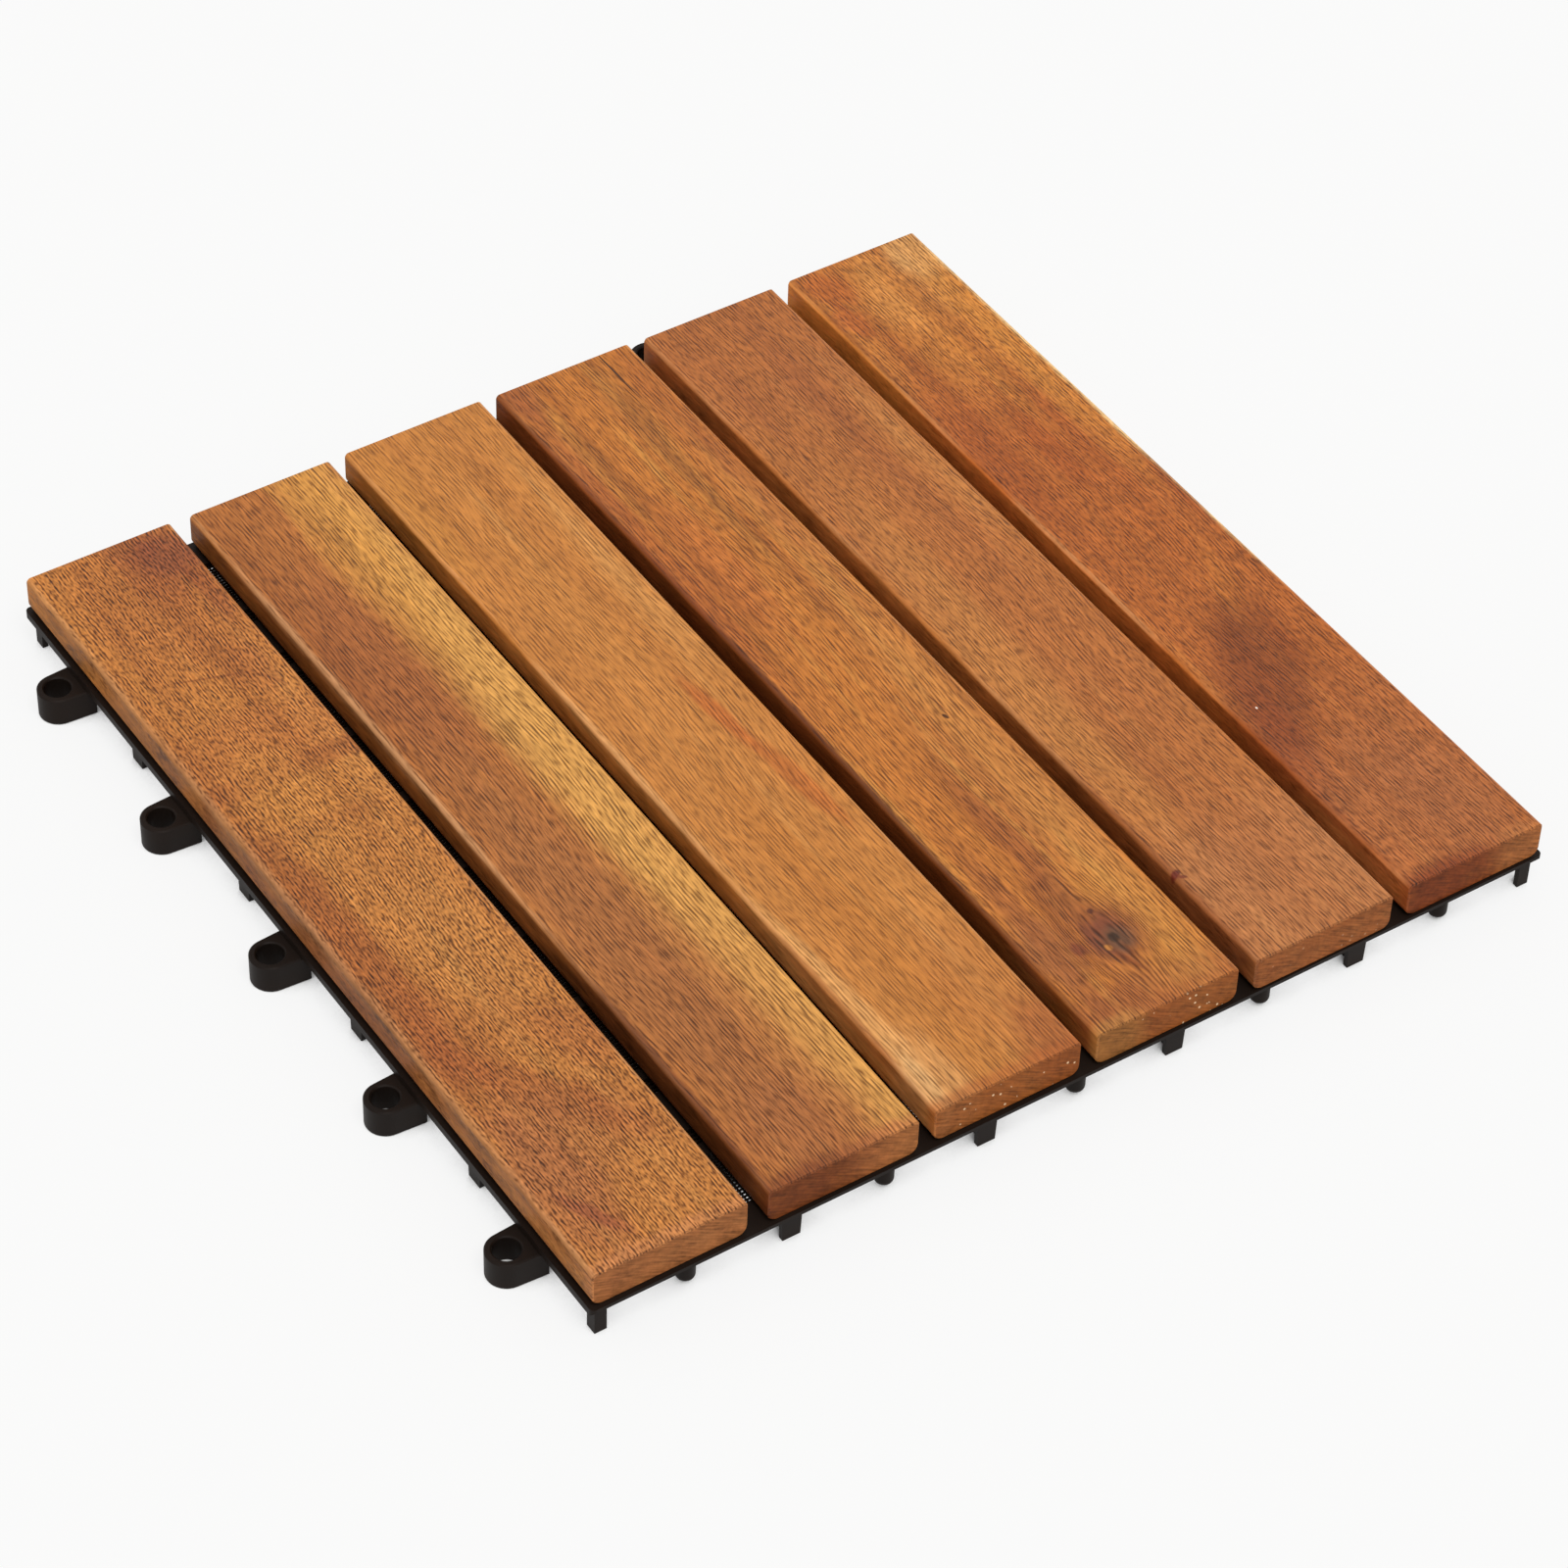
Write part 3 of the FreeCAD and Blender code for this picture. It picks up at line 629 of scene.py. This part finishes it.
def wood_ground(tree, point, bent, own, ground, wood, faces):
    """The wood's colour before its fibres: slow bands, worn arrises lightened by a painted highlight,
    clouds, and redder ends.
    """
    tone = stretched_noise(tree, bent, TONE_SPANS, detail=4.0, roughness=0.6)
    colour = lay_over(tree, opaque(ground), wood.pale, tone, 0.50, 0.72, wood.streaks)
    # Patches of the arrises turned paler: wear, and a painted highlight where the rounded edge would catch
    # the light
    patches = stretched_noise(tree, own, WORN_ARRIS_AND_HIGHLIGHT_SPANS, detail=1.0)
    patches = add_node(tree, "MapRange", {"Value": patches, "From Min": 0.4, "From Max": 0.6},
                       interpolation_type="SMOOTHSTEP")
    worn = add_node(tree, "Math", {0: patches, 1: faces.arrises}, operation="MULTIPLY")
    worn = add_node(tree, "Math", {0: worn, 1: WORN_ARRIS_AND_HIGHLIGHT_SHARE}, operation="MULTIPLY")
    colour = add_node(tree, "Mix", {"Factor": worn, "A": colour, "B": opaque(linear(WORN_ARRIS_AND_HIGHLIGHT_CODE))},
                      data_type="RGBA")
    colour = add_clouds(tree, point, colour, wood.clouds)
    colour = lay_over(tree, colour, wood.deep, tone, 0.50, 0.28, wood.streaks)
    tint = add_node(tree, "Math", {0: faces.ends, 1: END_SHARE}, operation="MULTIPLY")
    colour = add_node(tree, "Mix", {"Factor": tint, "A": colour, "B": opaque(linear(END_CODE))},
                      data_type="RGBA")
    return add_clouds(tree, point, colour, wood.end_clouds)


def shade_fibres(tree, colour, fibre, pores, strength):
    """Darkens the colour between the fibres and in the pores."""
    dark = add_node(tree, "MapRange",
                    {"Value": fibre, "From Min": 0.55, "From Max": -0.35, "To Min": 0.0,
                     "To Max": FIBRE_SHADE}, interpolation_type="SMOOTHSTEP")
    dark = add_node(tree, "Math", {0: pores, 1: PORE_SHADE, 2: dark}, operation="MULTIPLY_ADD")
    dark = add_node(tree, "Math", {0: dark, 1: strength}, operation="MULTIPLY", use_clamp=True)
    return add_node(tree, "Mix", {"Factor": dark, "A": colour, "B": opaque(linear(FIBRE_SHADE_CODE))},
                    data_type="RGBA", blend_type="MULTIPLY")


def oiled_acacia(name, centre, ground, wood):
    """Planed and oiled acacia: satin and warm, with open pores that the oil leaves dark and a slow change of
    colour along the grain. Fibres are drawn 1 mm apart so that they show, streaks about 1.6 mm wide and
    bands of tone about 10 mm. The sawn ends and sides are duller than the planed top."""
    material, tree = new_material(name)
    point, bent = grain_point(tree, centre, wood.knot)
    # The fine noises start elsewhere on each slat, so that no two slats have the same fibres
    own = add_node(tree, "VectorMath", {0: bent, 1: (centre.x / MM, 0.0, 0.0)}, operation="ADD")
    faces = face_masks(tree)
    fibre, pores = fibre_noises(tree, own, wood, faces)
    colour = wood_ground(tree, point, bent, own, ground, wood, faces)
    colour = shade_fibres(tree, colour, fibre, pores, wood.fibres)
    level = wood_brightness(tree, own, wood, fibre, faces)
    colour = add_node(tree, "VectorMath", {0: colour, "Scale": level}, operation="SCALE")
    if wood.specks:
        colour = end_specks(tree, own, colour, faces.ends, wood.specks)
    height = add_node(tree, "Math", {0: fibre, 1: pores}, operation="SUBTRACT")
    bump = add_node(tree, "Bump", {"Height": height, "Distance": sizes().pore_depth, "Strength": 0.6})
    gloss = add_node(tree, "MapRange", {"Value": fibre, "To Min": 0.44, "To Max": 0.58})
    sawn = add_node(tree, "Math", {0: faces.ends, 1: faces.sides}, operation="MAXIMUM")
    sheen = add_node(tree, "MapRange", {"Value": sawn, "To Min": 0.28, "To Max": 0.08})
    shader = add_node(tree, "BsdfPrincipled",
                      {"Base Color": colour, "Roughness": gloss, "Normal": bump, "IOR": 1.45,
                       "Specular IOR Level": sheen})
    finish_material(tree, shader)
    return material


# Base and screws

# Spans in mm of the mould's grain, its flow marks, and the turning marks and dull patches of the zinc
MOULD_GRAIN_SPANS = (0.4, 0.4, 0.4)
FLOW_SPANS = (24.0, 24.0, 8.0)
TURNING_SPANS = (1.5, 1.5, 0.15)
DULL_SPANS = (2.5, 2.5, 2.5)
FLOW_BRIGHTNESS = 2.2
DULL_BRIGHTNESS = 0.72
FINE_RELIEF = 0.02 * MM


def moulded_polypropylene(name):
    """Injection moulded black polypropylene: matt from a fine spark-eroded mould, grain about 0.4 mm,
    a little brown, with paler flow marks some centimetres long."""
    material, tree = new_material(name)
    point = point_in_mm(tree)
    grain = stretched_noise(tree, point, MOULD_GRAIN_SPANS)
    flow = stretched_noise(tree, point, FLOW_SPANS, detail=3.0)
    pale = add_node(tree, "MapRange", {"Value": flow, "From Min": 0.4, "From Max": 0.75,
                                       "To Min": 0.0, "To Max": 0.35})
    base = tuple(colours().plastic)
    marks = tuple(part * FLOW_BRIGHTNESS for part in base)
    colour = add_node(tree, "Mix", {"Factor": pale, "A": opaque(base), "B": opaque(marks)},
                      data_type="RGBA")
    rough = add_node(tree, "MapRange", {"Value": flow, "To Min": 0.44, "To Max": 0.60})
    bump = add_node(tree, "Bump", {"Height": grain, "Distance": FINE_RELIEF, "Strength": 0.6})
    shader = add_node(tree, "BsdfPrincipled",
                      {"Base Color": colour, "Roughness": rough, "Normal": bump, "IOR": 1.49,
                       "Specular IOR Level": 0.12})
    finish_material(tree, shader)
    return material


def zinc_plated_steel(name):
    """Bright zinc plate on steel screws: metallic, pale, with faint turning marks and duller patches."""
    material, tree = new_material(name)
    point = point_in_mm(tree)
    turning = stretched_noise(tree, point, TURNING_SPANS)
    dull = stretched_noise(tree, point, DULL_SPANS)
    rough = add_node(tree, "MapRange", {"Value": dull, "To Min": 0.26, "To Max": 0.46})
    zinc = tuple(colours().zinc)
    duller = tuple(part * DULL_BRIGHTNESS for part in zinc)
    colour = add_node(tree, "Mix", {"Factor": dull, "A": opaque(zinc), "B": opaque(duller)},
                      data_type="RGBA")
    bump = add_node(tree, "Bump", {"Height": turning, "Distance": FINE_RELIEF, "Strength": 0.5})
    shader = add_node(tree, "BsdfPrincipled",
                      {"Base Color": colour, "Metallic": 1.0, "Roughness": rough, "Normal": bump})
    finish_material(tree, shader)
    return material


def dress(node, material):
    """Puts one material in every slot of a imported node."""
    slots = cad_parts[node].data.materials
    if len(slots) == 0:
        slots.append(material)
    for index in range(len(slots)):
        slots[index] = material


# Net

# Sizes of the base's grid, as the solid has them, and half the width of the strip over a screw channel
GRID_PITCH = 30 * MM
BAR_WIDTH = 4 * MM
RIM_WIDTH = 10 * MM
STRIP_HALF = 7.6 * MM

# How far the net's underside lies below the top of the plate, in depths of one bar
NET_DROP = 3


def grid_lines(half):
    """Middles of the base's bars: as many whole cells as fit between the edges, about the middle."""
    cells = int(2 * half / GRID_PITCH)
    return [(index - cells / 2) * GRID_PITCH for index in range(1, cells)]


def open_spans(half):
    """Open spans between the bars along one side, from rim to rim."""
    lines = grid_lines(half)
    starts = [-half + RIM_WIDTH] + [line + BAR_WIDTH / 2 for line in lines]
    stops = [line - BAR_WIDTH / 2 for line in lines] + [half - RIM_WIDTH]
    return list(zip(starts, stops))


def less_screw_strips(half):
    """Open spans along the slats, cut by the closed strip over each screw channel, half a cell inside
    the outer bars."""
    row = grid_lines(half)[-1] - GRID_PITCH / 2
    spans = []
    for low, high in open_spans(half):
        for strip in (-row, row):
            if low < strip < high:
                spans.append((low, strip - STRIP_HALF))
                low = strip + STRIP_HALF
        spans.append((low, high))
    return spans


def block_vertices(low, high):
    """Corners of blocks from their low and high corners: each of the 8 takes low or high on each axis."""
    picks = np.array([[0, 0, 0], [1, 0, 0], [1, 1, 0], [0, 1, 0],
                      [0, 0, 1], [1, 0, 1], [1, 1, 1], [0, 1, 1]])
    return np.where(picks[None, :, :] == 1, high[:, None, :], low[:, None, :]).reshape(-1, 3)


def block_faces(count):
    """Six outward faces for each block, as rows of four vertex numbers: the first block's plus 8 for each
    block before."""
    one = np.array([[0, 3, 2, 1], [4, 5, 6, 7], [0, 1, 5, 4], [1, 2, 6, 5], [2, 3, 7, 6], [3, 0, 4, 7]])
    return (one[None, :, :] + 8 * np.arange(count)[:, None, None]).reshape(-1, 4)


def net_layer(span, other, floor, axis):
    """Bars that cross one opening: evenly spaced along axis, from wall to wall along the other.
    Bar k has its middle at start + (k + 1) * width / (number + 1)."""
    settings = sizes()
    width = span[1] - span[0]
    number = max(int(round(width / settings.net_pitch)) - 1, 1)
    middle = span[0] + (np.arange(number) + 1) * width / (number + 1)
    low = np.zeros((number, 3))
    high = np.zeros((number, 3))
    low[:, axis] = middle - settings.net_bar / 2
    high[:, axis] = middle + settings.net_bar / 2
    low[:, 1 - axis] = other[0]
    high[:, 1 - axis] = other[1]
    low[:, 2] = floor
    high[:, 2] = floor + settings.net_depth
    return low, high


def net_mesh(openings, floor):
    """Two layers of crossing bars in every opening, the second on top of the first."""
    lows, highs = [], []
    for across, along in openings:
        for axis, span, other in ((0, across, along), (1, along, across)):
            low, high = net_layer(span, other, floor + axis * sizes().net_depth, axis)
            lows.append(low)
            highs.append(high)
    low, high = np.concatenate(lows), np.concatenate(highs)
    vertices = block_vertices(low, high)
    faces = block_faces(len(low))
    mesh = bpy.data.meshes.new("base_net")
    mesh.from_pydata(vertices.tolist(), [], faces.tolist())
    mesh.update()
    return mesh


def base_openings():
    """Openings of the base plate, worked out from its box as in the solid."""
    low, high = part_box("base_grid")
    return [(across, along) for across in open_spans(high.x) for along in less_screw_strips(-low.y)]


# Operators

class DECKTILE_OT_slats(bpy.types.Operator):
    """Give each slat its own oiled hardwood"""

    bl_idname = "deck_tile.slats"
    bl_label = "Slats"

    def execute(self, context):
        for name, wood in WOODS.items():
            low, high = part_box(name)
            ground = tuple(getattr(colours(), name))
            dress(name, oiled_acacia("oiled_acacia_" + name, (low + high) / 2, ground, wood))
        return {"FINISHED"}


class DECKTILE_OT_base(bpy.types.Operator):
    """Give the base its moulded plastic and fill its openings with the fine net"""

    bl_idname = "deck_tile.base"
    bl_label = "Base and net"

    def execute(self, context):
        plastic = moulded_polypropylene("moulded_black_polypropylene")
        dress("base_grid", plastic)
        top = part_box("base_grid")[1].z
        mesh = net_mesh(base_openings(), top - NET_DROP * sizes().net_depth)
        mesh.materials.append(plastic)
        net = bpy.data.objects.new("base_net", mesh)
        context.scene.collection.objects.link(net)
        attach(net, "root")
        return {"FINISHED"}


class DECKTILE_OT_screws(bpy.types.Operator):
    """Give the screws their zinc plate"""

    bl_idname = "deck_tile.screws"
    bl_label = "Screws"

    def execute(self, context):
        dress("screws", zinc_plated_steel("zinc_plated_steel"))
        return {"FINISHED"}


# Stage

# The photograph's camera. Lens and sensor are in mm, as Blender keeps them.
VIEW_AZIMUTH = math.radians(-34.80)
VIEW_ELEVATION = math.radians(44.24)
VIEW_ROLL = math.radians(2.09)
VIEW_TARGET = Vector((-15.1, -29.9, 23.0)) * MM
LENS = 117.66
SENSOR_WIDTH = 36.0
NEAREST_SEEN = 0.05
FARTHEST_SEEN = 20.0

# Sky and sun
SKY_LEVEL = 0.5
SUN_LEVEL = 1.73
SUN_SPREAD = math.radians(35)
SUN_FROM = Vector((-0.1, -0.45, 1.0))

# The floor lies just below the feet. WHITE_SHARE of what the camera sees of it is plain white. There is less
# where something within COVER_REACH covers it, and none below the tile: it fades out between LIT_INSIDE and
# DARK_INSIDE from the tile's edge.
FLOOR_REACH = 3.0
FLOOR_DROP = 0.05 * MM
WHITE_SHARE = 0.8
COVER_REACH = 12 * MM
LIT_INSIDE = 9 * MM
DARK_INSIDE = 18 * MM
SEEN_THROUGH = (5.8 * MM, 8.4 * MM, 0.0)


def studio_floor_material():
    """Matt white paper that keeps a soft shadow: part of what the camera sees of it is plain white, but
    not where the tile stands close over it, so no glow comes up through its gaps and holes."""
    material, tree = new_material("matt_white_paper")
    paper = add_node(tree, "BsdfDiffuse", {"Color": opaque(tuple(colours().floor))})
    plain = add_node(tree, "Emission", {"Color": (1.0, 1.0, 1.0, 1.0), "Strength": 1.0})
    cover = add_node(tree, "AmbientOcclusion", {"Distance": COVER_REACH}, samples=6)
    free = add_node(tree, "MapRange", {"Value": cover.node.outputs["AO"], "From Min": 0.3, "From Max": 0.5,
                                       "To Min": 0.0, "To Max": WHITE_SHARE},
                    interpolation_type="SMOOTHSTEP")
    free = add_node(tree, "Math", {0: free, 1: clear_of_the_tile(tree)}, operation="MULTIPLY")
    share = add_node(tree, "Math", {0: background_rays(tree), 1: free}, operation="MULTIPLY")
    finish_material(tree, add_node(tree, "MixShader", {0: share, 1: paper, 2: plain}))
    return material


def clear_of_the_tile(tree):
    """0 on the floor under the middle of the tile, rising to 1 just inside its edges. The floor that the
    photo's camera sees through an opening of the plate lies SEEN_THROUGH behind it."""
    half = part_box("slat_6")[1].x
    place = add_node(tree, "TexCoord").node.outputs["Object"]
    place = add_node(tree, "VectorMath", {0: place, 1: SEEN_THROUGH}, operation="SUBTRACT")
    size = add_node(tree, "VectorMath", {0: place}, operation="ABSOLUTE")
    parts = add_node(tree, "SeparateXYZ", {"Vector": size}).node.outputs
    outward = add_node(tree, "Math", {0: parts["X"], 1: parts["Y"]}, operation="MAXIMUM")
    return add_node(tree, "MapRange", {"Value": outward, "From Min": half - DARK_INSIDE,
                                       "From Max": half - LIT_INSIDE}, interpolation_type="SMOOTHSTEP")


def background_rays(tree):
    """1 for camera, glossy and transmission rays, which show the background, and 0 for light."""
    path = add_node(tree, "LightPath").node.outputs
    seen = add_node(tree, "Math", {0: path["Is Camera Ray"], 1: path["Is Glossy Ray"]}, operation="MAXIMUM")
    return add_node(tree, "Math", {0: seen, 1: path["Is Transmission Ray"]}, operation="MAXIMUM")


def make_floor():
    """A flat square floor just below the feet."""
    sides = ((-1, -1), (1, -1), (1, 1), (-1, 1))
    corners = [(x * FLOOR_REACH, y * FLOOR_REACH, -FLOOR_DROP) for x, y in sides]
    mesh = bpy.data.meshes.new("studio_floor")
    mesh.from_pydata(corners, [], [(0, 1, 2, 3)])
    mesh.materials.append(studio_floor_material())
    floor = bpy.data.objects.new("studio_floor", mesh)
    bpy.context.scene.collection.objects.link(floor)


def make_light():
    """Soft daylight: an even white sky and one broad sun, together about 1 on a level white sheet."""
    world = bpy.data.worlds.new("studio_sky")
    world.use_nodes = True
    tree = world.node_tree
    tree.nodes.clear()
    strength = add_node(tree, "MapRange", {"Value": background_rays(tree),
                                           "To Min": SKY_LEVEL, "To Max": 1.0})
    sky = add_node(tree, "Background", {"Color": (1.0, 1.0, 1.0, 1.0), "Strength": strength})
    add_node(tree, "OutputWorld", {"Surface": sky})
    bpy.context.scene.world = world
    lamp = bpy.data.lights.new("broad_sun", "SUN")
    lamp.energy = SUN_LEVEL
    lamp.angle = SUN_SPREAD
    sun = bpy.data.objects.new("broad_sun", lamp)
    sun.rotation_euler = SUN_FROM.to_track_quat("Z", "Y").to_euler()
    bpy.context.scene.collection.objects.link(sun)


def make_camera():
    """The photograph's view: back is the direction from the target to the camera, by azimuth and
    elevation; right and up are square to it and turned by the roll."""
    flat = math.cos(VIEW_ELEVATION)
    back = Vector((math.sin(VIEW_AZIMUTH) * flat, -math.cos(VIEW_AZIMUTH) * flat, math.sin(VIEW_ELEVATION)))
    right = Vector((0.0, 0.0, 1.0)).cross(back).normalized()
    up = back.cross(right)
    rolled_right = math.cos(VIEW_ROLL) * right + math.sin(VIEW_ROLL) * up
    rolled_up = math.cos(VIEW_ROLL) * up - math.sin(VIEW_ROLL) * right
    data = bpy.data.cameras.new("photo_view")
    data.lens = LENS
    data.sensor_width = SENSOR_WIDTH
    data.clip_start = NEAREST_SEEN
    data.clip_end = FARTHEST_SEEN
    camera = bpy.data.objects.new("photo_view", data)
    turn = Matrix((rolled_right, rolled_up, back)).transposed().to_4x4()
    camera.matrix_world = Matrix.Translation(VIEW_TARGET + back * sizes().view_distance) @ turn
    bpy.context.scene.collection.objects.link(camera)
    bpy.context.scene.camera = camera


class DECKTILE_OT_stage(bpy.types.Operator):
    """Make the pale floor, the soft light and the camera"""

    bl_idname = "deck_tile.stage"
    bl_label = "Floor, light and camera"

    def execute(self, context):
        make_floor()
        make_light()
        make_camera()
        context.scene.view_settings.view_transform = "Standard"
        return {"FINISHED"}


# Panel and run

class DECKTILE_PT_panel(bpy.types.Panel):
    """Lists the tile's settings and its operators"""

    bl_idname = "DECKTILE_PT_panel"
    bl_label = "Deck tile"
    bl_space_type = "VIEW_3D"
    bl_region_type = "UI"
    bl_category = "Deck tile"

    def draw(self, context):
        for settings in (context.scene.deck_tile_colours, context.scene.deck_tile_sizes):
            column = self.layout.column(align=True)
            for name in settings.__annotations__:
                column.prop(settings, name)
        for operator in OPERATORS:
            self.layout.operator(operator.bl_idname)


OPERATORS = (DECKTILE_OT_slats, DECKTILE_OT_base, DECKTILE_OT_screws, DECKTILE_OT_stage)
CLASSES = (DeckTileColours, DeckTileSizes) + OPERATORS + (DECKTILE_PT_panel,)


def register():
    """Registers the classes and gives each scene the settings."""
    for one in CLASSES:
        bpy.utils.register_class(one)
    bpy.types.Scene.deck_tile_colours = bpy.props.PointerProperty(type=DeckTileColours)
    bpy.types.Scene.deck_tile_sizes = bpy.props.PointerProperty(type=DeckTileSizes)


def unregister():
    """Takes back all that register does."""
    del bpy.types.Scene.deck_tile_sizes
    del bpy.types.Scene.deck_tile_colours
    for one in reversed(CLASSES):
        bpy.utils.unregister_class(one)


def main():
    """Runs every operator in order, from the slats to the stage."""
    register()
    for operator in OPERATORS:
        group, name = operator.bl_idname.split(".")
        getattr(getattr(bpy.ops, group), name)()


if __name__ == "__main__":
    main()
